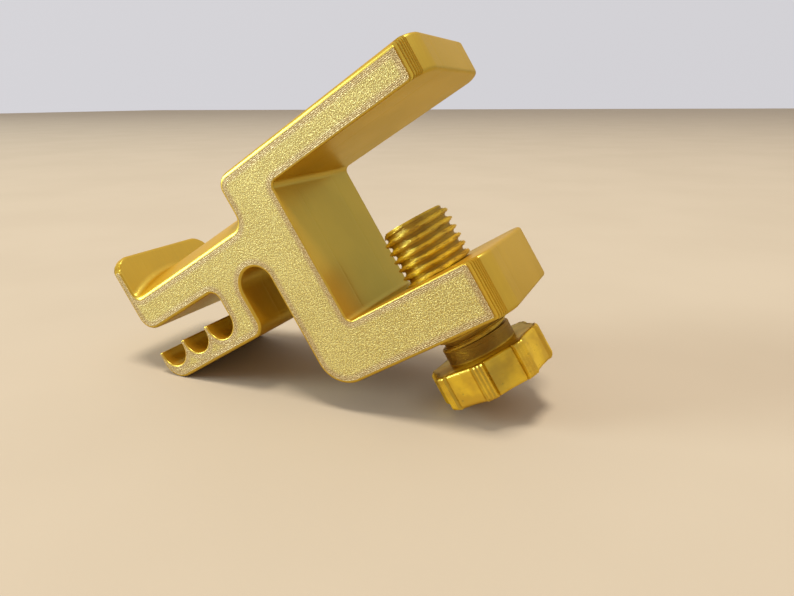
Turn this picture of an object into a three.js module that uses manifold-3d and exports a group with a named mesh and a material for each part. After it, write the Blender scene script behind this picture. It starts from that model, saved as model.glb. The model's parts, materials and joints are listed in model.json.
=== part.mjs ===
// Desk-clamp headphone hanger with a cable comb: a one-piece printed frame and a printed clamp screw.
// Everything is drawn upright, as the clamp is used: +X from the spine towards the jaw tips, +Y across
// the width and +Z up, with the origin where the spine meets the underside of the upper jaw.
// The last lines lay the object down on its comb and knob, the way it rests on a table.
import * as THREE from 'three';
import { mergeVertices } from 'three/addons/utils/BufferGeometryUtils.js';
import Module from 'manifold-3d';

const wasm = await Module();
wasm.setup();

// ---- Driving dimensions, in millimetres ----
const WIDTH = 40;               // across the frame, and so the width a headband rests on
const OPENING = 41.2;           // clamp gap between the jaws
const SPINE_THICK = 15.3;

const UPPER_THICK = 9.6;
const UPPER_REACH = 51.3;       // spine to jaw tip
const LOWER_THICK = 15.4;
const LOWER_REACH = 41.8;
const TIP_CORNER_R = 6.2;       // rounding of the jaw tips, seen from above
const SHOULDER_R = 3.8;         // top outer corner of the spine
const HEEL_R = 9;               // bottom outer corner of the spine
const THROAT_R = 1.8;           // inner corners of the clamp

const ARM_REACH = 68.6;         // spine inner face to the free end of the arm
const ARM_UNDER = 15.4;         // depth of the arm's underside below the upper jaw's underside
const ARM_TIP_R = 5.4;
const SADDLE_CREST = 0.8;       // height of the saddle along the middle of the arm
const SADDLE_FALL = 5.8;        // how far the saddle falls from its crest to each side
const SADDLE_LIP_R = 2.7;
const SADDLE_ROOT_R = 3.6;
const LIP_THICK = 3.2;
const LIP_CORNER_R = 5.5;

const HOOK_SLOT = 11.1;         // gap between the spine and the comb's bracket
const HOOK_SLOT_TOP = 15.4;
const HOOK_SLOT_R = 5.4;
const BRACKET_THICK = 8.95;
const BRACKET_R = 4;
const CABLE_SLOT = 7.3;         // height of the way in between arm and comb
const CABLE_SLOT_R = 2.9;
const COMB_BOTTOM = 33.1;
const COMB_TIP_R = 6.5;
const NOTCHES = 3;
const NOTCH_R = 4.85;
const NOTCH_DEPTH = 6.2;
const TOOTH = 1.5;
const TOOTH_R = 0.7;
const END_TOOTH_R = 0.5;

const PITCH = 2.5;              // M20 x 2.5 thread, right-handed
const SCREW_R = 9.9;
const THREAD_DEPTH = 1.4;
const THREAD_PHASE = -0.35;     // height of a crest's lower edge on the +X side, from a whole pitch
const THREAD_CLEARANCE = 0.35;  // radial, between the screw and its hole
const FLANK_CLEARANCE = 0.1;    // along the axis, on each flank
const SCREW_X = LOWER_REACH / 2;
const SCREW_END = 25.6;         // screw's end face below the upper jaw
const END_FACE_R = 8.2;
const END_THICK = 1.4;
const END_GAP = 0.3;
const NECK_TOP = 61.3;
const KNOB_TOP = 65.6;
const KNOB_HEIGHT = 10;
const KNOB_R = 16.3;
const KNOB_LOBES = 8;
const KNOB_SCALLOP = 1.6;
const KNOB_CHAMFER = 0.8;
const LOBE_HALF_ANGLE = 5.5;    // degrees of full radius each side of a lobe's middle
const LOBE_PHASE = -78;         // degrees, direction of one lobe's middle

const REST_TILT = 31.56;        // degrees the frame leans back when it lies on comb and knob

const ROUND_STEPS = 10;         // segments in a rounded corner
const TURN_STEPS = 32;          // segments in one turn of thread
const SADDLE_STEPS = 16;
const OVERCUT = 2;              // how far cutting tools run past what they cut

const GOLD = new THREE.MeshStandardMaterial({ color: 0xd4ab34, roughness: 0.35, metalness: 0.45 });

// ---- Solids and booleans ----
function solid(geometry) {
  const bare = geometry.index ? geometry.toNonIndexed() : geometry.clone();
  bare.deleteAttribute('normal');
  bare.deleteAttribute('uv');
  const merged = mergeVertices(bare, 1e-5);
  const vertProperties = new Float32Array(merged.attributes.position.array);
  const triVerts = new Uint32Array(merged.index.array);
  return new wasm.Manifold(new wasm.Mesh({ numProp: 3, vertProperties, triVerts }));
}

function geometryOf(manifold) {
  const { vertProperties, triVerts } = manifold.getMesh();
  const geometry = new THREE.BufferGeometry();
  geometry.setAttribute('position', new THREE.BufferAttribute(vertProperties, 3));
  geometry.setIndex(new THREE.BufferAttribute(triVerts, 1));
  geometry.computeVertexNormals();
  return geometry;
}

// Closed outline from [x, y, corner radius] points given anticlockwise.
function roundedOutline(corners) {
  const points = [];
  corners.forEach(([x, y, radius], i) => {
    const here = new THREE.Vector2(x, y);
    const before = corners.at(i - 1);
    const after = corners[(i + 1) % corners.length];
    const back = new THREE.Vector2(before[0], before[1]).sub(here).normalize();
    const on = new THREE.Vector2(after[0], after[1]).sub(here).normalize();
    if (!radius) {
      points.push(here);
      return;
    }
    const half = Math.acos(back.dot(on)) / 2;
    const toCentre = back.clone().add(on).normalize();
    const centre = here.clone().addScaledVector(toCentre, radius / Math.sin(half));
    const first = here.clone().addScaledVector(back, radius / Math.tan(half)).sub(centre);
    const last = here.clone().addScaledVector(on, radius / Math.tan(half)).sub(centre);
    const turn = Math.atan2(first.cross(last), first.dot(last));
    for (let step = 0; step <= ROUND_STEPS; step += 1) {
      const spoke = first.clone().rotateAround(new THREE.Vector2(), turn * step / ROUND_STEPS);
      points.push(spoke.add(centre));
    }
  });
  return new THREE.Shape(points);
}

// Plate with its outline in the XZ plane, centred on Y = 0.
function plateAcrossY(shape, width, steps = 1) {
  const plate = new THREE.ExtrudeGeometry(shape, { depth: width, steps, bevelEnabled: false });
  plate.rotateX(Math.PI / 2);
  plate.translate(0, width / 2, 0);
  return plate;
}

// Tool that rounds off one corner at (0, 0) of material lying towards -X and -Y, along Z from 0 to length.
function cornerTool(radius, length) {
  const shape = new THREE.Shape();
  shape.moveTo(OVERCUT, OVERCUT);
  shape.lineTo(-radius, OVERCUT);
  shape.lineTo(-radius, 0);
  shape.absarc(-radius, -radius, radius, Math.PI / 2, 0, true);
  shape.lineTo(OVERCUT, -radius);
  return new THREE.ExtrudeGeometry(shape, { depth: length, bevelEnabled: false, curveSegments: ROUND_STEPS });
}

// ---- Thread ----
// Right-handed helical rod along Z, from low to high, cut square at both ends.
function threadedRod(crest, root, low, high, widen) {
  const flank = 0.29 * PITCH;
  const crestWidth = 0.14 * PITCH + 2 * widen;
  const heights = [-widen, crestWidth - widen, crestWidth - widen + flank, PITCH - widen - flank];
  const radii = [crest, crest, root, root];
  // Every thread starts a whole number of pitches from the same height, so that they mesh.
  const start = PITCH * (Math.floor(low / PITCH) - 1) + THREAD_PHASE;
  const turns = Math.ceil((high - start) / PITCH) + 1;
  const rows = 4 * turns + 1;
  const columns = TURN_STEPS + 1;
  const positions = [];
  for (let column = 0; column < columns; column += 1) {
    const turn = column / TURN_STEPS;
    const angle = turn * 2 * Math.PI;
    for (let row = 0; row < rows; row += 1) {
      const height = start + PITCH * (Math.floor(row / 4) + turn) + heights[row % 4];
      const radius = radii[row % 4];
      positions.push(radius * Math.cos(angle), radius * Math.sin(angle), height);
    }
  }
  const at = (column, row) => column * rows + row;
  const index = [];
  const bottomRim = [];
  const topRim = [];
  for (let column = 0; column < TURN_STEPS; column += 1) {
    for (let row = 0; row + 1 < rows; row += 1) {
      index.push(at(column, row), at(column + 1, row), at(column + 1, row + 1));
      index.push(at(column, row), at(column + 1, row + 1), at(column, row + 1));
    }
    bottomRim.push(at(column, 0));
    topRim.push(at(column, rows - 1));
  }
  // The seam steps up by one pitch, so each end's rim runs once round and then along the seam.
  for (let row = 4; row > 0; row -= 1) bottomRim.push(at(0, row));
  for (let row = 0; row < 4; row += 1) topRim.push(at(TURN_STEPS, rows - 1 - row));
  const cap = (rim, height, facingUp) => {
    const middle = positions.length / 3;
    positions.push(0, 0, height);
    rim.forEach((vertex, i) => {
      const next = rim[(i + 1) % rim.length];
      index.push(middle, facingUp ? vertex : next, facingUp ? next : vertex);
    });
  };
  cap(bottomRim, start, false);
  cap(topRim, start + PITCH * (turns + 1), true);
  const geometry = new THREE.BufferGeometry();
  geometry.setAttribute('position', new THREE.Float32BufferAttribute(positions, 3));
  geometry.setIndex(index);
  const trim = new THREE.CylinderGeometry(crest + OVERCUT, crest + OVERCUT, high - low, TURN_STEPS);
  trim.rotateX(Math.PI / 2);
  trim.translate(0, 0, (high + low) / 2);
  return solid(geometry).intersect(solid(trim));
}

// ---- Frame ----
function frameOutline() {
  const bracketOut = -SPINE_THICK - HOOK_SLOT;
  const bracketIn = bracketOut - BRACKET_THICK;
  const combTop = -ARM_UNDER - CABLE_SLOT;
  const notchBottom = combTop - NOTCH_DEPTH;
  const notchR = NOTCH_R - 0.01;
  const corners = [
    [UPPER_REACH, 0, 0],
    [UPPER_REACH, UPPER_THICK, 0],
    [-ARM_REACH, UPPER_THICK, 0],
    [-ARM_REACH, -ARM_UNDER, ARM_TIP_R],
    [bracketIn, -ARM_UNDER, CABLE_SLOT_R],
  ];
  for (let notch = 0; notch < NOTCHES; notch += 1) {
    const right = bracketIn - notch * (2 * NOTCH_R + TOOTH);
    const left = right - 2 * NOTCH_R;
    const isLast = notch === NOTCHES - 1;
    corners.push([right, notchBottom, notchR], [left, notchBottom, notchR]);
    corners.push([left, combTop, isLast ? END_TOOTH_R : TOOTH_R]);
    corners.push([isLast ? -ARM_REACH : left - TOOTH, combTop, isLast ? END_TOOTH_R : TOOTH_R]);
  }
  corners.push(
    [-ARM_REACH, -COMB_BOTTOM, COMB_TIP_R],
    [bracketOut, -COMB_BOTTOM, BRACKET_R],
    [bracketOut, -HOOK_SLOT_TOP, HOOK_SLOT_R],
    [-SPINE_THICK, -HOOK_SLOT_TOP, HOOK_SLOT_R],
    [-SPINE_THICK, -OPENING - LOWER_THICK, HEEL_R],
    [LOWER_REACH, -OPENING - LOWER_THICK, 0],
    [LOWER_REACH, -OPENING, 0],
    [0, -OPENING, THROAT_R],
    [0, 0, THROAT_R],
  );
  return roundedOutline(corners);
}

// Tool that hollows the arm between lip and spine. Its underside is an arch across the width.
function saddleTool() {
  const top = UPPER_THICK + OVERCUT;
  const lipFace = -ARM_REACH + LIP_THICK;
  const shape = roundedOutline([
    [lipFace, top, 0],
    [lipFace, SADDLE_CREST, SADDLE_LIP_R],
    [-SPINE_THICK, SADDLE_CREST, SADDLE_ROOT_R],
    [-SPINE_THICK, top, 0],
  ]);
  const tool = plateAcrossY(shape, WIDTH + 2 * OVERCUT, SADDLE_STEPS);
  const archR = (WIDTH ** 2 / 4 + SADDLE_FALL ** 2) / (2 * SADDLE_FALL);
  const position = tool.attributes.position;
  const archLimit = SADDLE_CREST + SADDLE_ROOT_R + 0.5;
  for (let i = 0; i < position.count; i += 1) {
    const fall = archR - Math.sqrt(archR ** 2 - position.getY(i) ** 2);
    if (position.getZ(i) < archLimit) position.setZ(i, position.getZ(i) - fall);
  }
  return solid(tool);
}

function shoulderTool() {
  const tool = cornerTool(SHOULDER_R, WIDTH + 2 * OVERCUT);
  tool.rotateX(Math.PI / 2);
  tool.rotateZ(Math.PI);
  tool.translate(-SPINE_THICK, -WIDTH / 2 - OVERCUT, UPPER_THICK);
  return solid(tool);
}

function tipTools(reach, low, high) {
  return [1, -1].map((side) => {
    const tool = cornerTool(TIP_CORNER_R, high - low + 2 * OVERCUT);
    if (side < 0) tool.rotateX(Math.PI);
    tool.translate(reach, side * WIDTH / 2, side > 0 ? low - OVERCUT : high + OVERCUT);
    return solid(tool);
  });
}

function lipTools() {
  return [1, -1].map((side) => {
    const tool = cornerTool(LIP_CORNER_R, LIP_THICK + 2 * OVERCUT);
    tool.rotateZ(side > 0 ? 0 : Math.PI / 2);
    tool.rotateY(Math.PI / 2);
    tool.rotateX(Math.PI / 2);
    tool.translate(-ARM_REACH - OVERCUT, side * WIDTH / 2, UPPER_THICK);
    return solid(tool);
  });
}

function clampFrame() {
  let frame = solid(plateAcrossY(frameOutline(), WIDTH));
  const tools = [
    saddleTool(),
    shoulderTool(),
    ...lipTools(),
    ...tipTools(UPPER_REACH, 0, UPPER_THICK),
    ...tipTools(LOWER_REACH, -OPENING - LOWER_THICK, -OPENING),
  ];
  for (const tool of tools) frame = frame.subtract(tool);
  const holeCrest = SCREW_R + THREAD_CLEARANCE;
  const hole = threadedRod(
    holeCrest,
    holeCrest - THREAD_DEPTH,
    -OPENING - LOWER_THICK - OVERCUT,
    -OPENING + OVERCUT,
    FLANK_CLEARANCE,
  );
  return frame.subtract(hole.translate([SCREW_X, 0, 0]));
}

// ---- Screw ----
function knobOutline() {
  const lobeAngle = 2 * Math.PI / KNOB_LOBES;
  const half = THREE.MathUtils.degToRad(LOBE_HALF_ANGLE);
  const bodyR = KNOB_R - KNOB_CHAMFER;
  const points = [];
  for (let lobe = 0; lobe < KNOB_LOBES; lobe += 1) {
    const middle = THREE.MathUtils.degToRad(LOBE_PHASE) + lobe * lobeAngle;
    for (const offset of [-half, 0, half]) {
      points.push(new THREE.Vector2(bodyR, 0).rotateAround(new THREE.Vector2(), middle + offset));
    }
    for (let step = 1; step < 6; step += 1) {
      const along = step / 6;
      const angle = middle + half + along * (lobeAngle - 2 * half);
      const radius = bodyR - KNOB_SCALLOP * Math.sin(Math.PI * along);
      points.push(new THREE.Vector2(radius, 0).rotateAround(new THREE.Vector2(), angle));
    }
  }
  return new THREE.Shape(points);
}

function clampScrew() {
  const shankTop = -SCREW_END - END_THICK - END_GAP;
  const shank = threadedRod(SCREW_R, SCREW_R - THREAD_DEPTH, -NECK_TOP - OVERCUT, shankTop, 0);
  const neckHeight = KNOB_TOP - NECK_TOP + OVERCUT;
  const neck = new THREE.CylinderGeometry(SCREW_R, SCREW_R, neckHeight, 2 * TURN_STEPS);
  neck.rotateX(Math.PI / 2);
  neck.translate(0, 0, -NECK_TOP - neckHeight / 2);
  const knob = new THREE.ExtrudeGeometry(knobOutline(), {
    depth: KNOB_HEIGHT - 2 * KNOB_CHAMFER,
    bevelThickness: KNOB_CHAMFER,
    bevelSize: KNOB_CHAMFER,
    bevelSegments: 2,
  });
  knob.translate(0, 0, -KNOB_TOP - KNOB_HEIGHT + KNOB_CHAMFER);
  return solid(neck).add(solid(knob)).add(shank);
}

function screwTip() {
  const rootR = SCREW_R - THREAD_DEPTH;
  const tip = new THREE.CylinderGeometry(END_FACE_R, rootR, END_THICK, 2 * TURN_STEPS);
  tip.rotateX(Math.PI / 2);
  tip.translate(0, 0, -SCREW_END - END_THICK / 2);
  return tip;
}

// ---- Assembly ----
function addPart(parent, name, geometry) {
  const mesh = new THREE.Mesh(geometry, GOLD);
  mesh.name = name;
  parent.add(mesh);
}

const screw = new THREE.Group();
screw.position.x = SCREW_X;
addPart(screw, 'clamp_screw', geometryOf(clampScrew()));
addPart(screw, 'screw_tip', screwTip());

const hanger = new THREE.Group();
hanger.rotation.y = -THREE.MathUtils.degToRad(REST_TILT);
addPart(hanger, 'clamp_frame', geometryOf(clampFrame()));
hanger.add(screw);

// Stand the leaning object on the XY plane, centred on the origin.
hanger.updateMatrixWorld(true);
const extent = new THREE.Box3().setFromObject(hanger, true);
const middle = extent.getCenter(new THREE.Vector3());
hanger.position.set(-middle.x, 0, -extent.min.z);

const part = new THREE.Group();
part.add(hanger);

export default part;
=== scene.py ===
"""Gold desk-clamp headphone hanger with a cable comb, 3-D printed in silk filament, leaning on a pale floor.

The frame and the screw are built in millimetres in the upright design frame: +X from the spine to the
jaw tips, +Y across the width, +Z up, origin where the spine meets the underside of the upper jaw. Each
piece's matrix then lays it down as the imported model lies.
"""

import json
import math

import bmesh
import bpy
import numpy as np
from mathutils import Matrix, Vector
from mathutils.geometry import delaunay_2d_cdt


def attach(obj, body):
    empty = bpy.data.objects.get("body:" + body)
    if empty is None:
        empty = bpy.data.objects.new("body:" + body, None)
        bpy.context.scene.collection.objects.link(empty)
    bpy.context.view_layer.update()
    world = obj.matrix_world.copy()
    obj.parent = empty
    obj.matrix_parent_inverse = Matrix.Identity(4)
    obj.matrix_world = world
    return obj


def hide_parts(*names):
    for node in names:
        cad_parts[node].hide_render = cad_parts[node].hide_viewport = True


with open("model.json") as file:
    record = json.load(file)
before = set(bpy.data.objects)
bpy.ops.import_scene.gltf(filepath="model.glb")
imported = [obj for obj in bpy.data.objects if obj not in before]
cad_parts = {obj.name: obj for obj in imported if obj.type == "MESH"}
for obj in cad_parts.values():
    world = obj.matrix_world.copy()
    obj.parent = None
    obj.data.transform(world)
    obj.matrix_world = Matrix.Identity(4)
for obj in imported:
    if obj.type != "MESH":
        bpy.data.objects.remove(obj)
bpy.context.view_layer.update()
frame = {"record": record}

MM = 0.001

# ---- The object's dimensions, in millimetres, as in the CAD ----
WIDTH = 40.0
OPENING = 41.2
SPINE_THICK = 15.3
UPPER_THICK = 9.6
UPPER_REACH = 51.3
LOWER_THICK = 15.4
LOWER_REACH = 41.8
TIP_CORNER_R = 6.2
SHOULDER_R = 3.8
HEEL_R = 9.0
THROAT_R = 1.8
ARM_REACH = 68.6
ARM_UNDER = 15.4
ARM_TIP_R = 5.4
SADDLE_CREST = 0.8
SADDLE_FALL = 5.8
SADDLE_LIP_R = 2.7
SADDLE_ROOT_R = 3.6
LIP_THICK = 3.2
LIP_CORNER_R = 5.5
HOOK_SLOT = 11.1
HOOK_SLOT_R = 5.4
BRACKET_THICK = 8.95
BRACKET_R = 4.0
CABLE_SLOT = 7.3
CABLE_SLOT_R = 2.9
COMB_BOTTOM = 33.07  # 0.03 less than in the CAD, so that the rounded tip rests on the floor and not in it
COMB_TIP_R = 6.5
NOTCHES = 3
NOTCH_R = 4.85
NOTCH_DEPTH = 6.2
TOOTH = 1.5
TOOTH_R = 0.7
END_TOOTH_R = 0.5

PITCH = 2.5
SCREW_R = 9.9
THREAD_DEPTH = 1.4
THREAD_PHASE = -0.35
THREAD_CLEARANCE = 0.35
FLANK_CLEARANCE = 0.1
SCREW_X = LOWER_REACH / 2
SCREW_END = 25.6
END_FACE_R = 8.2
NECK_TOP = 61.3
KNOB_TOP = 65.6
KNOB_HEIGHT = 10.0
KNOB_R = 16.3
KNOB_LOBES = 8
KNOB_SCALLOP = 1.6
LOBE_HALF_ANGLE = 5.5
LOBE_PHASE = -78.0

# ---- What the print adds ----
LAYER = 0.28         # layer height: the frame's layers stack along Y, the screw's along its axis
STEPPED_LAYERS = 6   # layers next to each side whose steps show on the rounded tips
EDGE_R = 0.8         # rounding of the frame's edges next to its two sides
TOP_EDGE_R = 1.5     # the same along the upper jaw's top
CLAMP_EDGE_R = 0.45  # the same along the faces that hold the desk
FINE_EDGE_R = 0.4    # the same along the comb's teeth and notches
TIP_EDGE_R = 1.0     # rounding across the jaws' tips
LIP_EDGE_R = 1.0
SEAMS = (-10.1, 9.6)  # heights in Y where the layers change as the screw's hole starts and ends
RIM_LIMIT = 6.0      # how far in from a side's outline its distance is kept
LOBE_RIDGES = 6      # angles across one knob lobe, every second one a little lower
LOBE_RIDGE_DEPTH = 0.2
HALF_SCALLOP = ((0, 0), (0.03, 0.62), (0.07, 0.48), (0.27, 0.84))  # (share of its width, share of its depth)
SCALLOP_FACETS = (*HALF_SCALLOP, (0.5, 1), *[(1 - along, deep) for along, deep in reversed(HALF_SCALLOP)])
KNOB_EDGE_R = 1.1
KNOB_INSET = 0.02       # keeps the uneven layers inside the knob's outline
THREAD_INSET = 0.05     # the same for the thread's crests
NECK_INSET = 0.1
THREAD_LUMPS = ((5, 0.03), (13, 0.03), (29, 0.02))  # (waves round the screw, height) of a layer's unevenness
LAYER_TUCK = 0.035      # how far a layer of the screw curls in at its upper and lower edge
END_CHAMFER = 1.9       # length of the chamfer at the screw's end
LINE_WIDTH = 0.42       # width of one line of plastic

# ---- How finely the meshes are made ----
EXTRA_DEPTHS = {0: (0.01, 0.035, 0.075, 0.13), 1: (0.3,), 2: (0.5,)}  # rings inside the first layers
TIP_RING_STEP = 0.22
MIDDLE_FROM = 13.2      # distance from mid width where the wider rings start
MIDDLE_STEP = 1.1
NET_SPACING = 0.85      # between the points inside a side
HOLE_STEPS = 128        # points round the threaded hole
HOLE_RING_STEP = 0.16
HOLE_OVERCUT = 2.0
MERGE_DISTANCE = 2e-7   # metres
SMOOTH_ANGLE = 24       # degrees; sharper edges stay sharp in shading
SEED = 7


# ---- Frames of reference ----
def design_matrix():
    """The matrix from the upright design frame, in millimetres, to the row frame in metres."""
    mounts = {m["name"]: m for m in frame["record"]["mounts"]}
    ex = Vector(mounts["spine_inner_face"]["axis"])
    ez = -Vector(mounts["desk_face"]["axis"])
    ey = ez.cross(ex)
    origin = Vector(mounts["desk_face"]["pos_m"]) - ex * 20 * MM
    m = Matrix((ex, ey, ez)).transposed().to_4x4()
    m.translation = origin
    return m


DESIGN = design_matrix()
SCREW_AXIS = DESIGN @ Matrix.Translation((SCREW_X * MM, 0, 0))


# ---- Node helpers ----
class Nodes:
    """Short names for building a material's node tree."""

    def __init__(self, name, matrix):
        """The material's patterns lie in the frame that the matrix gives."""
        self.material = bpy.data.materials.new(name)
        self.material.use_nodes = True
        self.tree = self.material.node_tree
        self.shader = self.tree.nodes["Principled BSDF"]
        coords = self.tree.nodes.new("ShaderNodeTexCoord")
        n = self.tree.nodes.new("ShaderNodeMapping")
        n.vector_type = "TEXTURE"
        n.inputs["Location"].default_value = matrix.to_translation()
        n.inputs["Rotation"].default_value = matrix.to_euler()
        self.tree.links.new(coords.outputs["Object"], n.inputs["Vector"])
        self.flat = n.outputs[0]

    def link(self, value, socket):
        if hasattr(value, "is_output"):
            self.tree.links.new(value, socket)
        elif value is not None:
            socket.default_value = value

    def math(self, operation, a, b=None):
        n = self.tree.nodes.new("ShaderNodeMath")
        n.operation = operation
        for value, socket in zip((a, b), n.inputs):
            self.link(value, socket)
        return n.outputs[0]

    def waves(self, value, length):
        """A sine of the value with that wavelength."""
        return self.math("SINE", self.math("MULTIPLY", value, 2 * math.pi / length))

    def spread(self, value, low, high, to_low=0.0, to_high=1.0):
        """Smooth step from to_low, where the value is low, to to_high, where it is high."""
        n = self.tree.nodes.new("ShaderNodeMapRange")
        n.interpolation_type = "SMOOTHSTEP"
        self.link(value, n.inputs["Value"])
        for name, number in (("From Min", low), ("From Max", high), ("To Min", to_low), ("To Max", to_high)):
            n.inputs[name].default_value = number
        return n.outputs[0]

    def place(self, scale, turn=(0, 0, 0)):
        """The flat coordinates turned and stretched."""
        n = self.tree.nodes.new("ShaderNodeMapping")
        n.inputs["Scale"].default_value = scale
        n.inputs["Rotation"].default_value = turn
        self.tree.links.new(self.flat, n.inputs["Vector"])
        return n.outputs[0]

    def split(self, vector):
        n = self.tree.nodes.new("ShaderNodeSeparateXYZ")
        self.tree.links.new(vector, n.inputs[0])
        return n.outputs

    def noise(self, vector, scale, detail=2.0, rough=0.5, distortion=0.0):
        n = self.tree.nodes.new("ShaderNodeTexNoise")
        self.tree.links.new(vector, n.inputs["Vector"])
        n.inputs["Scale"].default_value = scale
        n.inputs["Detail"].default_value = detail
        n.inputs["Roughness"].default_value = rough
        n.inputs["Distortion"].default_value = distortion
        return n.outputs["Fac"]

    def cells(self, vector, scale):
        """Distance to the nearest of scattered points."""
        n = self.tree.nodes.new("ShaderNodeTexVoronoi")
        n.feature = "F1"
        self.tree.links.new(vector, n.inputs["Vector"])
        n.inputs["Scale"].default_value = scale
        return n.outputs["Distance"]

    def attribute(self, name):
        n = self.tree.nodes.new("ShaderNodeAttribute")
        n.attribute_name = name
        return n.outputs["Fac"]

    def blend(self, share, a, b):
        """A number between a and b."""
        n = self.tree.nodes.new("ShaderNodeMix")
        for value, socket in zip((share, a, b), (n.inputs[0], n.inputs[2], n.inputs[3])):
            self.link(value, socket)
        return n.outputs[0]

    def mix(self, share, a, b):
        """A colour between a and b."""
        n = self.tree.nodes.new("ShaderNodeMix")
        n.data_type = "RGBA"
        self.link(share, n.inputs[0])
        for value, socket in ((a, n.inputs[6]), (b, n.inputs[7])):
            self.link((*value, 1) if isinstance(value, tuple) else value, socket)
        return n.outputs[2]

    def bump(self, height, distance, strength=1.0, under=None):
        n = self.tree.nodes.new("ShaderNodeBump")
        n.inputs["Strength"].default_value = strength
        n.inputs["Distance"].default_value = distance
        self.link(height, n.inputs["Height"])
        if under is not None:
            self.link(under, n.inputs["Normal"])
        return n.outputs[0]

    def finish(self, color, roughness, normal, ior=1.5, gloss=(1, 1, 1)):
        """Sets the shader; gloss is the colour of its reflections."""
        s = self.shader.inputs
        self.link(color, s["Base Color"])
        self.link(roughness, s["Roughness"])
        self.link(normal, s["Normal"])
        s["IOR"].default_value = ior
        self.link((*gloss, 1) if isinstance(gloss, tuple) else gloss, s["Specular Tint"])
        return self.material


# Silk filament: a deep gold body under a strong, paler gold gloss.
GOLD = (0.38, 0.152, 0.003)
GOLD_PALE = (0.45, 0.215, 0.010)
GOLD_DEEP = (0.32, 0.118, 0.002)
SCREW_GOLD = (0.66, 0.36, 0.010)
# Brown for the painted shade in the bed's valleys, the top's grooves and the screw's roots and neck, and for
# the screw's pits and scorch marks.
BROWN = (0.12, 0.042, 0.005)
BED_GOLD = (0.52, 0.34, 0.04)
BED_PALE = (0.60, 0.41, 0.07)
BED_RIM = (0.30, 0.135, 0.045)
# Colour of the painted glints on the grained side.
GLINT = (0.95, 0.82, 0.36)
SILK_IOR = 3.6
WALL_GLOSS = (1.0, 0.90, 0.17)
SCREW_GLOSS = (1.0, 0.84, 0.15)
# Dimmer gloss where the screw carries painted shade or scorch marks.
ROOT_GLOSS = (0.50, 0.30, 0.08)
BED_GLOSS = (1.0, 0.97, 0.46)
# Dimmer gloss colour for the painted shade in the bed's valleys.
SHADED_VALLEY_GLOSS = (0.78, 0.61, 0.26)
RIM_GLOSS = (0.92, 0.76, 0.44)


def wall_material():
    """Smooth printed walls: layer lines across Y, layers of slightly different gloss, two layer changes."""
    g = Nodes("gold_walls", DESIGN)
    y = g.split(g.flat)[1]
    wave = g.waves(y, LAYER * MM)
    streaks = g.noise(g.place((60, 4200, 60)), 1.0, 2.0, 0.6)
    fine = g.noise(g.place((900, 5200, 900)), 1.0, 2.0, 0.6)
    soft = g.noise(g.flat, 55.0, 2.0, 0.5)
    height = g.math("ADD", g.math("MULTIPLY", wave, 0.25), g.math("MULTIPLY", streaks, 1.2))
    normal = g.bump(height, 0.000025, 0.6, g.bump(fine, 0.00002, 0.5, g.bump(soft, 0.0003, 0.25)))
    color = g.mix(g.spread(soft, 0.35, 0.65), GOLD, GOLD_DEEP)
    color = g.mix(g.spread(streaks, 0.4, 0.75, 0.0, 0.35), color, GOLD_PALE)
    rough = g.math("ADD", g.spread(streaks, 0.3, 0.7, 0.28, 0.33), g.spread(soft, 0.3, 0.7, 0.0, 0.04))
    return g.finish(color, rough, normal, SILK_IOR, WALL_GLOSS)


def bed_material():
    """The side printed on a grained plate: a fine maze of ridges with painted shade in its valleys and pale
    specks as painted glints, and browner walls along the outline.
    """
    g = Nodes("gold_bed", DESIGN)
    rim = g.attribute("rim")
    worms = g.noise(g.flat, 2700.0, 0.5, 0.5, 0.6)
    maze = g.spread(worms, 0.41, 0.59)
    specks = g.noise(g.flat, 3600.0, 0.0, 0.5)
    patch = g.noise(g.flat, 120.0, 3.0, 0.6)
    band = g.spread(rim, 0.9, 2.3, 1.0, 0.0)
    lines = g.waves(rim, LINE_WIDTH)
    ghost = g.math("MULTIPLY", g.waves(rim, 0.9), g.spread(rim, 2.0, 4.5, 1.0, 0.0))
    height = g.math("ADD", maze, g.math("MULTIPLY", g.math("MULTIPLY", lines, band), 0.25))
    height = g.math("ADD", height, g.math("MULTIPLY", ghost, 0.04))
    normal = g.bump(height, 0.00013, 1.0)
    color = g.mix(g.spread(patch, 0.35, 0.65), BED_PALE, BED_GOLD)
    color = g.mix(g.math("MULTIPLY", band, 0.85), color, BED_RIM)
    # Painted glints: pale specks of colour stand in for sparkling highlights on the grain.
    color = g.mix(g.spread(specks, 0.52, 0.68, 0.0, 0.5), color, GLINT)
    # Painted shade: the maze's valleys are coloured browner and their gloss is dimmer.
    color = g.mix(g.spread(maze, 0.0, 1.0, 0.6, 0.0), color, BROWN)
    gloss = g.mix(g.math("MULTIPLY", band, 0.9), BED_GLOSS, RIM_GLOSS)
    gloss = g.mix(g.spread(maze, 0.0, 1.0, 0.75, 0.0), gloss, SHADED_VALLEY_GLOSS)
    rough = g.math("ADD", g.spread(maze, 0.0, 1.0, 0.56, 0.42), g.math("MULTIPLY", band, 0.06))
    return g.finish(color, rough, normal, SILK_IOR, gloss)


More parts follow.
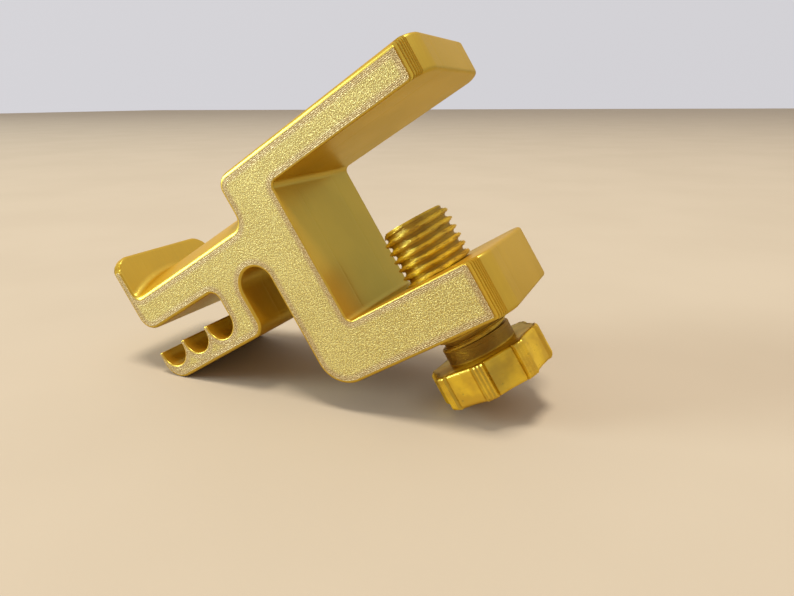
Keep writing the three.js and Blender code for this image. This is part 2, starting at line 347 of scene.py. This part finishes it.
def top_material():
    """The last layer: lines side by side at 45 degrees, framed by two walls that follow the outline, with
    painted shade in the troughs between the lines and in the groove inside the walls.
    """
    g = Nodes("gold_top", DESIGN)
    x, _, z = g.split(g.flat)
    rim = g.attribute("rim")
    band = g.spread(rim, 0.8, 0.9, 1.0, 0.0)
    raster = g.waves(g.math("ADD", x, z), LINE_WIDTH * MM * math.sqrt(2))
    lines = g.blend(band, raster, g.waves(rim, LINE_WIDTH))
    seam = g.math("MULTIPLY", g.spread(rim, 0.75, 0.9), g.spread(rim, 0.9, 1.1, 1.0, 0.0))
    wander = g.noise(g.place((900, 60, 60), (0, math.radians(45), 0)), 1.0, 3.0, 0.6)
    ripple = g.noise(g.flat, 1400.0, 1.0, 0.5)
    soft = g.noise(g.flat, 80.0, 2.0, 0.5)
    height = g.math("ADD", g.math("MULTIPLY", lines, 0.5), g.math("MULTIPLY", wander, 1.6))
    height = g.math("ADD", height, g.math("MULTIPLY", ripple, 0.9))
    height = g.math("SUBTRACT", height, g.math("MULTIPLY", seam, 2.5))
    normal = g.bump(height, 0.00005, 0.8)
    color = g.mix(g.spread(soft, 0.35, 0.65), GOLD, GOLD_PALE)
    color = g.mix(g.spread(wander, 0.5, 0.72, 0.0, 0.5), color, BED_PALE)
    # Painted shade: the troughs between the lines and the groove between walls and infill are coloured
    # browner.
    color = g.mix(g.spread(lines, -1.0, -0.2, 0.5, 0.0), color, BROWN)
    color = g.mix(g.math("MULTIPLY", seam, 0.7), color, BROWN)
    rough = g.spread(wander, 0.3, 0.7, 0.32, 0.46)
    return g.finish(color, rough, normal, SILK_IOR, WALL_GLOSS)


def screw_material():
    """The screw's print: painted shade that makes the neck and thread roots browner, scorch marks, pits,
    blobs, and gloss that changes by layer.
    """
    g = Nodes("gold_screw", SCREW_AXIS)
    x, y, z = g.split(g.flat)
    reach = g.math("SQRT", g.math("ADD", g.math("MULTIPLY", x, x), g.math("MULTIPLY", y, y)))
    streaks = g.noise(g.place((120, 120, 3400)), 1.0, 2.0, 0.6)
    soft = g.noise(g.flat, 150.0, 3.0, 0.55)
    pit = g.spread(g.cells(g.flat, 330.0), 0.05, 0.13, 1.0, 0.0)
    blob = g.spread(g.cells(g.place((1, 1, 1), (0.4, 0.7, 0.2)), 420.0), 0.10, 0.2, 1.0, 0.0)
    height = g.math("SUBTRACT", g.math("MULTIPLY", streaks, 0.8), g.math("MULTIPLY", pit, 2.5))
    height = g.math("ADD", height, g.math("MULTIPLY", blob, 1.5))
    normal = g.bump(height, 0.00004, 0.7, g.bump(soft, 0.0003, 0.35))
    color = g.mix(g.spread(soft, 0.35, 0.65), SCREW_GOLD, GOLD)
    color = g.mix(g.spread(streaks, 0.45, 0.75, 0.0, 0.3), color, GOLD_PALE)
    above_knob = g.spread(z, (-KNOB_TOP + 0.2) * MM, (-KNOB_TOP + 0.6) * MM)
    below_end = g.spread(z, (-SCREW_END - 0.6) * MM, (-SCREW_END - 0.2) * MM, 1.0, 0.0)
    on_stud = g.math("MULTIPLY", above_knob, below_end)
    # Painted shade: the thread roots and the neck above the knob are coloured browner and their gloss is
    # dimmer.
    root = g.spread(reach, (SCREW_R - THREAD_DEPTH) * MM, (SCREW_R - 0.6) * MM, 0.6, 0.0)
    neck = g.spread(z, (-NECK_TOP - 0.3) * MM, (-NECK_TOP + 0.1) * MM, 0.75, 0.0)
    scorch = g.noise(g.place((380, 380, 1500), (0.3, 0.2, 0.1)), 1.0, 2.0, 0.6)
    scorch = g.spread(scorch, 0.5, 0.64, 0.0, 0.6)
    # The painted shade joined with the scorch marks.
    shade_and_scorch = g.math("MAXIMUM", g.math("MULTIPLY", root, on_stud), g.math("MULTIPLY", above_knob, neck))
    shade_and_scorch = g.math("MAXIMUM", shade_and_scorch, g.math("MULTIPLY", scorch, on_stud))
    color = g.mix(shade_and_scorch, color, BROWN)
    gloss = g.mix(shade_and_scorch, SCREW_GLOSS, ROOT_GLOSS)
    color = g.mix(g.math("MULTIPLY", pit, 0.6), color, BROWN)
    rough = g.math("ADD", g.spread(streaks, 0.3, 0.7, 0.27, 0.34), g.spread(soft, 0.3, 0.7, 0.0, 0.05))
    return g.finish(color, rough, normal, SILK_IOR, gloss)


# ---- The frame's outline at one depth from a side ----
def drop(depth, radius):
    """How far a corner rounded with that radius has come in, at that depth below the side."""
    if depth >= radius:
        return 0.0
    return radius - math.sqrt(radius**2 - (radius - depth) ** 2)


def frame_corners(y, tip_depth, lip_depth):
    """Corners [x, z, radius, arc steps, edge rounding after it], anticlockwise, of the section at y."""
    upper = UPPER_REACH - drop(tip_depth, TIP_CORNER_R)
    lower = LOWER_REACH - drop(tip_depth, TIP_CORNER_R)
    lip_top = UPPER_THICK - drop(lip_depth, LIP_CORNER_R)
    arch_r = (WIDTH**2 / 4 + SADDLE_FALL**2) / (2 * SADDLE_FALL)
    saddle = SADDLE_CREST - arch_r + math.sqrt(arch_r**2 - y**2)
    lip_face = -ARM_REACH + LIP_THICK
    bracket_out = -SPINE_THICK - HOOK_SLOT
    bracket_in = bracket_out - BRACKET_THICK
    comb_top = -ARM_UNDER - CABLE_SLOT
    notch_bottom = comb_top - NOTCH_DEPTH
    corners = [
        [upper, 0.0, TIP_EDGE_R, 5, 0.0],
        [upper, UPPER_THICK, TIP_EDGE_R, 5, TOP_EDGE_R],
        [-SPINE_THICK, UPPER_THICK, SHOULDER_R, 10, EDGE_R],
        [-SPINE_THICK, saddle, SADDLE_ROOT_R, 10, EDGE_R],
        [lip_face, saddle, SADDLE_LIP_R, 10, EDGE_R],
        [lip_face, lip_top, LIP_EDGE_R, 6, 0.0],
        [-ARM_REACH, lip_top, LIP_EDGE_R, 6, EDGE_R],
        [-ARM_REACH, -ARM_UNDER, ARM_TIP_R, 12, EDGE_R],
        [bracket_in, -ARM_UNDER, CABLE_SLOT_R, 8, EDGE_R],
    ]
    for notch in range(NOTCHES):
        right = bracket_in - notch * (2 * NOTCH_R + TOOTH)
        left = right - 2 * NOTCH_R
        last = notch == NOTCHES - 1
        tooth_r = END_TOOTH_R if last else TOOTH_R
        corners += [
            [right, notch_bottom, NOTCH_R - 0.01, 14, FINE_EDGE_R],
            [left, notch_bottom, NOTCH_R - 0.01, 14, FINE_EDGE_R],
            [left, comb_top, tooth_r, 5, FINE_EDGE_R],
            [-ARM_REACH if last else left - TOOTH, comb_top, tooth_r, 5, FINE_EDGE_R],
        ]
    corners += [
        [-ARM_REACH, -COMB_BOTTOM, COMB_TIP_R, 12, EDGE_R],
        [bracket_out, -COMB_BOTTOM, BRACKET_R, 10, EDGE_R],
        [bracket_out, -ARM_UNDER, HOOK_SLOT_R, 14, EDGE_R],
        [-SPINE_THICK, -ARM_UNDER, HOOK_SLOT_R, 14, EDGE_R],
        [-SPINE_THICK, -OPENING - LOWER_THICK, HEEL_R, 18, EDGE_R],
        [lower, -OPENING - LOWER_THICK, TIP_EDGE_R, 5, 0.0],
        [lower, -OPENING, TIP_EDGE_R, 5, CLAMP_EDGE_R],
        [0.0, -OPENING, THROAT_R, 8, CLAMP_EDGE_R],
        [0.0, 0.0, THROAT_R, 8, CLAMP_EDGE_R],
    ]
    return corners


def rounded(corners, depth, groove):
    """Points of the closed outline, each edge moved in by its rounding at that depth and by the groove."""
    count = len(corners)
    here = np.array([c[:2] for c in corners], float)
    ahead = np.roll(here, -1, axis=0) - here
    ahead /= np.linalg.norm(ahead, axis=1)[:, None]
    inward = np.stack([-ahead[:, 1], ahead[:, 0]], axis=1)
    inset = np.array([drop(depth, c[4]) + groove for c in corners])
    points = []
    for i in range(count):
        d0, d1, n0, n1 = ahead[i - 1], ahead[i], inward[i - 1], inward[i]
        turn = d0[0] * d1[1] - d0[1] * d1[0]
        # The new corner is at inset[i - 1] from the edge before it and at inset[i] from the edge after.
        move = (d1 * inset[i - 1] - d0 * inset[i]) / turn
        corner = here[i] + move
        radius = corners[i][2]
        radius += -(inset[i - 1] + inset[i]) / 2 if turn > 0 else (inset[i - 1] + inset[i]) / 2
        radius = max(radius, 0.03)
        half = math.acos(max(-1.0, min(1.0, float(-d0 @ d1)))) / 2
        centre = corner + (d1 - d0) / np.linalg.norm(d1 - d0) * radius / math.sin(half)
        first = corner - d0 * radius / math.tan(half) - centre
        last = corner + d1 * radius / math.tan(half) - centre
        sweep = math.atan2(first[0] * last[1] - first[1] * last[0], float(first @ last))
        steps = corners[i][3]
        for k in range(steps + 1):
            a = sweep * k / steps
            points.append(
                (
                    centre[0] + first[0] * math.cos(a) - first[1] * math.sin(a),
                    centre[1] + first[0] * math.sin(a) + first[1] * math.cos(a),
                )
            )
    return points


def side_depths():
    """(depth, depth of the layer's middle) for the rings from one side inwards."""
    rows = []
    for layer in range(STEPPED_LAYERS):
        low = layer * LAYER
        inner = [low, *EXTRA_DEPTHS.get(layer, ()), low + LAYER]
        rows += [(depth, low + LAYER / 2) for depth in inner]
    depth = STEPPED_LAYERS * LAYER
    while depth < TIP_CORNER_R + 0.2:
        rows.append((depth, depth))
        depth += TIP_RING_STEP
    return rows


def frame_rings():
    """(y, tip depth, lip depth, rounding depth, groove) of each ring, grained side to last layer."""
    near = side_depths()
    middle = list(np.arange(-MIDDLE_FROM, MIDDLE_FROM + 0.1, MIDDLE_STEP))
    grooves = {}
    for seam in SEAMS:
        for offset, deep in ((-0.3, 0.0), (-0.12, 0.02), (0.0, 0.03), (0.12, 0.02), (0.3, 0.0)):
            grooves[round(seam + offset, 3)] = deep
    middle = [y for y in middle if all(abs(y - seam) > 0.5 for seam in SEAMS)]
    rings = [(-WIDTH / 2 + d, layer, layer, d, 0.0) for d, layer in near]
    for y in sorted([*middle, *grooves]):
        rings.append((y, WIDTH, WIDTH, WIDTH, grooves.get(y, 0.0)))
    rings += [(WIDTH / 2 - d, layer, layer, d, 0.0) for d, layer in reversed(near)]
    return rings


def distance_to_outline(points, outline):
    """Each point's distance to a closed outline, in millimetres."""
    points = np.asarray(points, float)
    a = np.asarray(outline, float)
    b = np.roll(a, -1, axis=0)
    keep = np.linalg.norm(b - a, axis=1) > 1e-6
    a, b = a[keep], b[keep]
    best = np.full(len(points), 1e9)
    for start, end in zip(a, b):
        d = end - start
        t = np.clip(((points - start) @ d) / (d @ d), 0, 1)
        best = np.minimum(best, np.linalg.norm(points - start - t[:, None] * d, axis=1))
    return best


def side_net(outline, spacing):
    """Triangles that fill an outline, with a hexagonal net of points inside it."""
    outline = np.asarray(outline, float)
    low, high = outline.min(0), outline.max(0)
    net = []
    row = 0
    z = low[1]
    while z < high[1]:
        x = low[0] + (spacing / 2 if row % 2 else 0)
        while x < high[0]:
            net.append((x, z))
            x += spacing
        z += spacing * math.sqrt(3) / 2
        row += 1
    net = np.array(net)
    net = net[distance_to_outline(net, outline) > spacing * 0.45]
    count = len(outline)
    edges = [(i, (i + 1) % count) for i in range(count)]
    coords = [Vector(p) for p in outline] + [Vector(p) for p in net]
    verts, _, faces, origins, _, _ = delaunay_2d_cdt(coords, edges, [], 1, 1e-5)
    source = [min(o) if o else None for o in origins]
    return verts, faces, source


def mesh_from(name, verts, faces, materials, face_material):
    mesh = bpy.data.meshes.new(name)
    mesh.from_pydata(verts, [], faces)
    for material in materials:
        mesh.materials.append(material)
    mesh.polygons.foreach_set("material_index", face_material)
    mesh.update()
    return mesh


def scaled(points):
    return [(x * MM, y * MM, z * MM) for x, y, z in points]


def clean(mesh, distance):
    bm = bmesh.new()
    bm.from_mesh(mesh)
    bmesh.ops.remove_doubles(bm, verts=bm.verts, dist=distance)
    bmesh.ops.dissolve_degenerate(bm, edges=bm.edges, dist=distance)
    bmesh.ops.delete(bm, geom=[v for v in bm.verts if not v.link_faces], context="VERTS")
    bmesh.ops.recalc_face_normals(bm, faces=bm.faces)
    bm.to_mesh(mesh)
    bm.free()


def shade(mesh, angle):
    for polygon in mesh.polygons:
        polygon.use_smooth = True
    mesh.set_sharp_from_angle(angle=math.radians(angle))


def object_of(name, mesh, matrix):
    """An object at the origin whose mesh has been put where the matrix says."""
    mesh.transform(matrix)
    o = bpy.data.objects.new(name, mesh)
    bpy.context.scene.collection.objects.link(o)
    return o


def cut(target, tool):
    """Takes the tool's solid out of the target's, and removes the tool."""
    m = target.modifiers.new("cut", "BOOLEAN")
    m.operation = "DIFFERENCE"
    m.solver = "MANIFOLD"
    m.object = tool
    bpy.context.view_layer.update()
    evaluated = target.evaluated_get(bpy.context.evaluated_depsgraph_get())
    mesh = bpy.data.meshes.new_from_object(evaluated)
    target.modifiers.clear()
    old = target.data
    target.data = mesh
    bpy.data.meshes.remove(old)
    bpy.data.objects.remove(tool)


def frame_mesh(walls, bed, top):
    rings = frame_rings()
    outlines = [rounded(frame_corners(y, tip, lip), depth, groove) for y, tip, lip, depth, groove in rings]
    count = len(outlines[0])
    verts = [(x, ring[0], z) for ring, outline in zip(rings, outlines) for x, z in outline]
    faces = []
    kinds = []
    for r in range(len(rings) - 1):
        for i in range(count):
            j = (i + 1) % count
            faces.append((r * count + i, r * count + j, (r + 1) * count + j, (r + 1) * count + i))
            kinds.append(0)
    for ring, kind in ((0, 1), (len(rings) - 1, 2)):
        net, triangles, source = side_net(outlines[ring], NET_SPACING)
        index = []
        for position, origin in zip(net, source):
            if origin is not None and origin < count:
                index.append(ring * count + origin)
            else:
                index.append(len(verts))
                verts.append((position[0], rings[ring][0], position[1]))
        for triangle in triangles:
            faces.append([index[i] for i in triangle])
            kinds.append(kind)
    mesh = mesh_from("hanger_frame", scaled(verts), faces, (walls, bed, top), kinds)
    clean(mesh, MERGE_DISTANCE)
    return mesh, outlines[0], outlines[-1]


# ---- The thread ----
def thread_radius(height, crest, root, widen):
    """Radius at that height above a crest's lower edge, with the crest and root a little rounded."""
    flank = 0.29 * PITCH
    crest_width = 0.14 * PITCH + 2 * widen
    middle = crest_width / 2 - widen
    away = abs((height - middle + PITCH / 2) % PITCH - PITCH / 2) - crest_width / 2
    share = min(max(away / flank, 0.0), 1.0)
    share = share / 2 + share**2 * (3 - 2 * share) / 2
    return crest - (crest - root) * share


def hole_tool():
    """The threaded hole through the lower jaw, as a solid of rings along Z in design millimetres."""
    steps = HOLE_STEPS
    low, high = -OPENING - LOWER_THICK - HOLE_OVERCUT, -OPENING + HOLE_OVERCUT
    heights = np.linspace(low, high, int((high - low) / HOLE_RING_STEP) + 1)
    crest = SCREW_R + THREAD_CLEARANCE
    verts = []
    for z in heights:
        for i in range(steps):
            turn = i / steps
            r = thread_radius(z - THREAD_PHASE - PITCH * turn, crest, crest - THREAD_DEPTH, FLANK_CLEARANCE)
            a = 2 * math.pi * turn
            verts.append((SCREW_X + r * math.cos(a), r * math.sin(a), z))
    faces = []
    for k in range(len(heights) - 1):
        for i in range(steps):
            j = (i + 1) % steps
            faces.append((k * steps + i, k * steps + j, (k + 1) * steps + j, (k + 1) * steps + i))
    faces.append(tuple(range(steps - 1, -1, -1)))
    faces.append(tuple((len(heights) - 1) * steps + i for i in range(steps)))
    mesh = mesh_from("hole", scaled(verts), faces, (), [0] * len(faces))
    return object_of("hole", mesh, DESIGN)


# ---- The screw ----
def knob_angles():
    """(angle, knob radius) round the screw: finely ridged lobes, and scallops of flats with steep sides."""
    lobe_angle = 2 * math.pi / KNOB_LOBES
    half = math.radians(LOBE_HALF_ANGLE)
    rows = []
    for lobe in range(KNOB_LOBES):
        middle = math.radians(LOBE_PHASE) + lobe * lobe_angle
        for k in range(LOBE_RIDGES):
            dip = LOBE_RIDGE_DEPTH if k % 2 else 0.0
            rows.append((middle - half + 2 * half * k / LOBE_RIDGES, KNOB_R - dip))
        corners = [
            (middle + half + along * (lobe_angle - 2 * half), KNOB_R - KNOB_SCALLOP * deep)
            for along, deep in SCALLOP_FACETS
        ]
        for (a0, r0), (a1, r1) in zip(corners, corners[1:]):
            for share in (0.0, 0.5):
                rows.append((a0 + (a1 - a0) * share, r0 + (r1 - r0) * share))
    return rows


def screw_rings(rng):
    """(z, radius at each angle) from the knob's underside up to the end face, layer by layer."""
    angles = knob_angles()
    count = len(angles)
    turn = np.array([a for a, _ in angles]) / (2 * math.pi)
    outline = np.array([r for _, r in angles])
    bottom = -KNOB_TOP - KNOB_HEIGHT
    rings = [(bottom, (outline - KNOB_EDGE_R) * share) for share in (0.25, 0.5, 0.75)]
    edge_depths = [KNOB_EDGE_R * (1 - math.cos(math.pi / 2 * k / 6)) for k in range(7)]
    flats = np.arange(KNOB_EDGE_R + 2 * LAYER, KNOB_HEIGHT - KNOB_EDGE_R - LAYER, 2 * LAYER)
    for depth in [*edge_depths, *flats, *[KNOB_HEIGHT - d for d in reversed(edge_depths)]]:
        inset = drop(min(depth, KNOB_HEIGHT - depth), KNOB_EDGE_R)
        rings.append((bottom + depth, outline - inset + rng.normal(0, 0.004) - KNOB_INSET))
    rings += [(-KNOB_TOP, outline * share + SCREW_R * (1 - share)) for share in (0.93, 0.6, 0.3)]
    layers = int(round((KNOB_TOP - SCREW_END) / LAYER))
    for layer in range(layers):
        low = -KNOB_TOP + layer * LAYER
        middle = low + LAYER / 2
        wobble = rng.normal(0, 0.015)
        lumps = 0
        for waves, size in THREAD_LUMPS:
            lumps = lumps + size * np.sin(2 * math.pi * (waves * turn + rng.uniform()))
        if middle < -NECK_TOP:
            radius = np.full(count, SCREW_R - NECK_INSET)
        else:
            heights = middle - THREAD_PHASE - PITCH * turn
            crest, root = SCREW_R - THREAD_INSET, SCREW_R - THREAD_DEPTH
            radius = np.array([thread_radius(height, crest, root, 0) for height in heights])
        depth = -SCREW_END - middle
        radius = np.minimum(radius, END_FACE_R + depth * (SCREW_R - END_FACE_R) / END_CHAMFER)
        for z, tuck in ((low + 0.01, LAYER_TUCK), (middle, 0.0), (low + LAYER - 0.01, LAYER_TUCK)):
            rings.append((z, radius + wobble + lumps - tuck))
    rings += [(-SCREW_END, np.full(count, END_FACE_R * share)) for share in (0.97, 0.6, 0.3)]
    return angles, rings


def screw_mesh(material):
    rng = np.random.default_rng(SEED)
    angles, rings = screw_rings(rng)
    count = len(angles)
    verts = []
    for z, radius in rings:
        for (angle, _), r in zip(angles, radius):
            verts.append((r * math.cos(angle), r * math.sin(angle), z))
    faces = []
    for k in range(len(rings) - 1):
        for i in range(count):
            j = (i + 1) % count
            faces.append((k * count + i, k * count + j, (k + 1) * count + j, (k + 1) * count + i))
    for ring, order in ((0, -1), (len(rings) - 1, 1)):
        middle = len(verts)
        verts.append((0, 0, rings[ring][0]))
        for i in range(count):
            j = (i + 1) % count
            a, b = ring * count + i, ring * count + j
            faces.append((middle, a, b) if order > 0 else (middle, b, a))
    mesh = mesh_from("knob_screw", scaled(verts), faces, (material,), [0] * len(faces))
    clean(mesh, MERGE_DISTANCE)
    return mesh


def set_rim(mesh, near_outline, far_outline):
    """Keeps each side vertex's distance to its outline, which the side materials draw their walls from."""
    co = np.zeros(len(mesh.vertices) * 3)
    mesh.vertices.foreach_get("co", co)
    back = np.array(DESIGN.inverted())
    co = (co.reshape(-1, 3) @ back[:3, :3].T + back[:3, 3]) / MM
    rim = np.zeros(len(co))
    for side, outline in ((-WIDTH / 2, near_outline), (WIDTH / 2, far_outline)):
        chosen = np.abs(co[:, 1] - side) < 0.004
        rim[chosen] = distance_to_outline(co[chosen][:, [0, 2]], outline)
    rim = np.minimum(rim, RIM_LIMIT)
    attribute = mesh.attributes.new("rim", "FLOAT", "POINT")
    attribute.data.foreach_set("value", rim.astype(np.float32))


# ---- Build the object ----
walls, bed, top, screw_gold = wall_material(), bed_material(), top_material(), screw_material()

mesh, near_outline, far_outline = frame_mesh(walls, bed, top)
hanger = object_of("hanger_frame", mesh, DESIGN)
cut(hanger, hole_tool())
set_rim(hanger.data, near_outline, far_outline)
shade(hanger.data, SMOOTH_ANGLE)
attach(hanger, "frame")
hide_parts("clamp_frame")

knob_screw = object_of("knob_screw", screw_mesh(screw_gold), SCREW_AXIS)
shade(knob_screw.data, SMOOTH_ANGLE)
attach(knob_screw, "screw")
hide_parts("clamp_screw", "screw_tip")


# ---- Floor, light and camera ----
FLOOR_IOR = 1.08  # barely glossy, so that the window leaves little glare on it
FLOOR_REACH = 6.0  # metres, from the middle to each side
FLOOR_COLORS = ((0.475, 0.380, 0.275), (0.457, 0.364, 0.262))
# Each wall of the room: its direction and the colour of its light.
ROOM = (
    ("right", (1, 0, 0), (0.60, 0.60, 0.60)),
    ("left", (-1, 0, 0), (0.68, 0.67, 0.70)),
    ("back", (0, 1, 0), (0.65, 0.64, 0.67)),
    ("front", (0, -1, 0), (0.28, 0.28, 0.29)),
    ("ceiling", (0, 0, 1), (0.86, 0.85, 0.84)),
    ("below", (0, 0, -1), (0.4, 0.36, 0.3)),
)
CAMERA_AT = (92.49, -152.85, 81.48)  # millimetres
CAMERA_HEADING = 24.496  # degrees, like the next two
CAMERA_PITCH = -17.643
CAMERA_ROLL = -0.483
CAMERA_LENS = 28.04
CAMERA_SENSOR = 36.0


def floor_material():
    """Pale warm floor with a very faint unevenness."""
    g = Nodes("pale_floor", Matrix.Identity(4))
    soft = g.noise(g.flat, 9.0, 3.0, 0.5)
    fine = g.noise(g.flat, 700.0, 2.0, 0.6)
    color = g.mix(g.spread(soft, 0.3, 0.7), *FLOOR_COLORS)
    return g.finish(color, 0.62, g.bump(fine, 0.0001, 0.15), FLOOR_IOR)


def add_floor():
    corners = [(x * FLOOR_REACH, y * FLOOR_REACH, 0) for x, y in ((-1, -1), (1, -1), (1, 1), (-1, 1))]
    mesh = bpy.data.meshes.new("floor")
    mesh.from_pydata(corners, [], [(0, 1, 2, 3)])
    mesh.materials.append(floor_material())
    floor = object_of("floor", mesh, Matrix.Identity(4))


def add_area(name, size, energy, color, position, target):
    light = bpy.data.lights.new(name, "AREA")
    light.shape = "DISK"
    light.size = size
    light.energy = energy
    light.color = color
    o = bpy.data.objects.new(name, light)
    bpy.context.scene.collection.objects.link(o)
    o.location = position
    o.rotation_euler = (Vector(target) - Vector(position)).to_track_quat("-Z", "Y").to_euler()


def add_world():
    """A soft room, its brightness given towards each wall and the ceiling and blended between them."""
    world = bpy.data.worlds.new("room")
    bpy.context.scene.world = world
    world.use_nodes = True
    tree = world.node_tree
    coords = tree.nodes.new("ShaderNodeTexCoord")
    total = None
    for name, direction, color in ROOM:
        along = tree.nodes.new("ShaderNodeVectorMath")
        along.operation = "DOT_PRODUCT"
        tree.links.new(coords.outputs["Generated"], along.inputs[0])
        along.inputs[1].default_value = direction
        share = tree.nodes.new("ShaderNodeMath")
        share.operation = "POWER"
        facing = tree.nodes.new("ShaderNodeMath")
        facing.operation = "MAXIMUM"
        tree.links.new(along.outputs["Value"], facing.inputs[0])
        facing.inputs[1].default_value = 0.0
        tree.links.new(facing.outputs[0], share.inputs[0])
        share.inputs[1].default_value = 2.0
        glow = tree.nodes.new("ShaderNodeVectorMath")
        glow.name = "room_" + name
        glow.operation = "SCALE"
        glow.inputs[0].default_value = color
        tree.links.new(share.outputs[0], glow.inputs["Scale"])
        if total is None:
            total = glow.outputs[0]
            continue
        add = tree.nodes.new("ShaderNodeVectorMath")
        tree.links.new(total, add.inputs[0])
        tree.links.new(glow.outputs[0], add.inputs[1])
        total = add.outputs[0]
    tree.links.new(total, tree.nodes["Background"].inputs["Color"])


def add_camera():
    data = bpy.data.cameras.new("camera")
    data.lens = CAMERA_LENS
    data.sensor_width = CAMERA_SENSOR
    data.clip_start = 0.01
    data.clip_end = 50.0
    camera = bpy.data.objects.new("camera", data)
    bpy.context.scene.collection.objects.link(camera)
    turn = Matrix.Rotation(math.radians(CAMERA_HEADING), 4, "Z")
    turn @= Matrix.Rotation(math.radians(90 + CAMERA_PITCH), 4, "X")
    turn @= Matrix.Rotation(math.radians(CAMERA_ROLL), 4, "Z")
    camera.matrix_world = Matrix.Translation(Vector(CAMERA_AT) * MM) @ turn
    bpy.context.scene.camera = camera


add_floor()
add_area("overhead", 0.70, 57.0, (0.97, 0.95, 0.87), (0.10, -0.40, 2.60), (0.0, 0.0, 0.0))
add_area("window", 2.40, 276.0, (0.80, 0.98, 1.08), (-4.40, -2.40, 1.36), (0.0, 0.0, 0.04))
add_world()
add_camera()
bpy.context.scene.view_settings.view_transform = "Standard"
